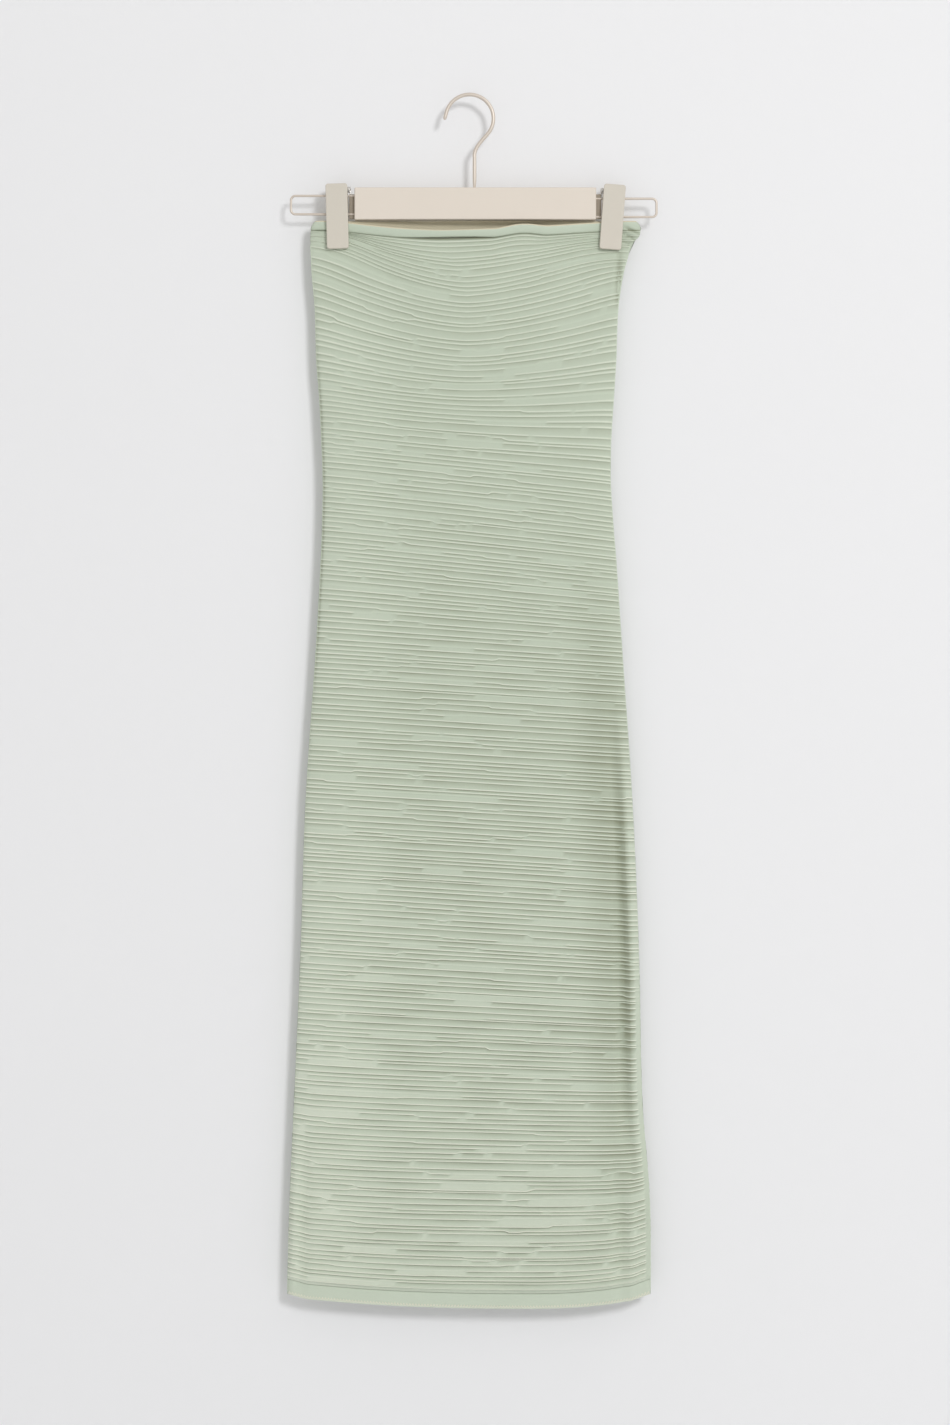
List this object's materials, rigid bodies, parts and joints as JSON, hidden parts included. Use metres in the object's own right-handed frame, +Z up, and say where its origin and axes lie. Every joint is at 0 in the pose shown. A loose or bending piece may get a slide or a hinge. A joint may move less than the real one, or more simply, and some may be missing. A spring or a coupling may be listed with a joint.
{
  "type": "strapless knit dress on a clip hanger",
  "caption": "Rippled-knit strapless midi dress, hung flat from the two clips of a bar hanger; the hanger's hook hangs it on a rail or peg.",
  "frame": {"origin": "under the top of the hanger's hook, where a rail or peg carries it", "axes": "+Z up along the hanging dress, +X to the right of a viewer who faces the front, and the front faces -Y"},
  "size_m": [0.3707, 0.0216, 1.214],
  "materials": {
    "yarn": "matt mint-green viscose knit with raised ripples",
    "band_yarn": "smooth mint-green jersey knit",
    "bar_coat": "satin beige plastic",
    "clip_coat": "satin beige plastic",
    "wire_coat": "beige enamel on steel wire",
    "steel": "bright spring steel"
  },
  "bodies": {
    "root": {"front_panel": "yarn", "back_panel": "yarn", "neck_band_front": "band_yarn", "neck_band_back": "band_yarn", "hem_band_front": "band_yarn", "hem_band_back": "band_yarn", "hanger_bar": "bar_coat", "hanger_hook": "wire_coat", "wire_loop_left": "wire_coat", "wire_loop_right": "wire_coat", "clip_left_front_jaw": "clip_coat", "clip_left_back_jaw": "clip_coat", "clip_left_core": "clip_coat", "clip_left_spring": "steel", "clip_right_front_jaw": "clip_coat", "clip_right_back_jaw": "clip_coat", "clip_right_core": "clip_coat", "clip_right_spring": "steel"}
  },
  "joints": []
}
